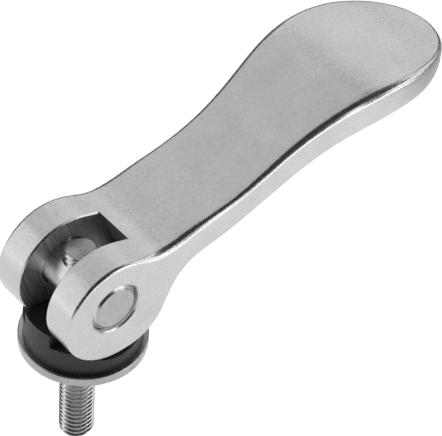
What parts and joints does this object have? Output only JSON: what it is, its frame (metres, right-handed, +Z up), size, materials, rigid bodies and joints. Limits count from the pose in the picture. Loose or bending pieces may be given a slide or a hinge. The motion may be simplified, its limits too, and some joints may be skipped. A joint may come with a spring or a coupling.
{
  "type": "cam lever",
  "caption": "Quick-release cam lever: a curved, spoon-tipped steel handle whose fork-shaped cam clamps through a saddle washer as it folds down about a cross pin on a threaded stud.",
  "frame": {"origin": "on the stud's axis, at the clamping face, which is the underside of the steel washer with the lever closed", "axes": "+Z runs up the stud towards the handle, +X runs along the closed handle towards its tip, +Y along the cross pin"},
  "size_m": [0.0821, 0.0244, 0.057],
  "materials": {
    "cast_steel": "satin, fine blasted casting",
    "turned_steel": "turned, satin",
    "stud_steel": "rolled thread, bright",
    "black_plastic": "moulded, matt",
    "washer_steel": "tumbled, satin"
  },
  "bodies": {
    "spindle": {"stud": "stud_steel", "cross_pin": "turned_steel"},
    "lever": {"lever": "cast_steel"},
    "thrust_washer": {"thrust_washer": "black_plastic"},
    "washer": {"washer": "washer_steel"}
  },
  "joints": [
    {"name": "lever_swing", "type": "hinge", "parent": "spindle", "child": "lever", "pos_m": [0, 0, 0.01529], "axis": [0, -1, 0], "range_deg": [0, 100]},
    {"name": "washer_slide", "type": "slide", "parent": "spindle", "child": "thrust_washer", "axis": [0, 0, 1], "range_m": [0, 0.0017]},
    {"name": "washer_spin", "type": "hinge", "parent": "thrust_washer", "child": "washer", "pos_m": [0.001, 0, 0.0009], "axis": [0, 0, 1], "continuous": true}
  ],
  "couplings": [
    {"joint": "washer_slide", "follows": "lever_swing", "m_per_rad": 0.00096257}
  ]
}
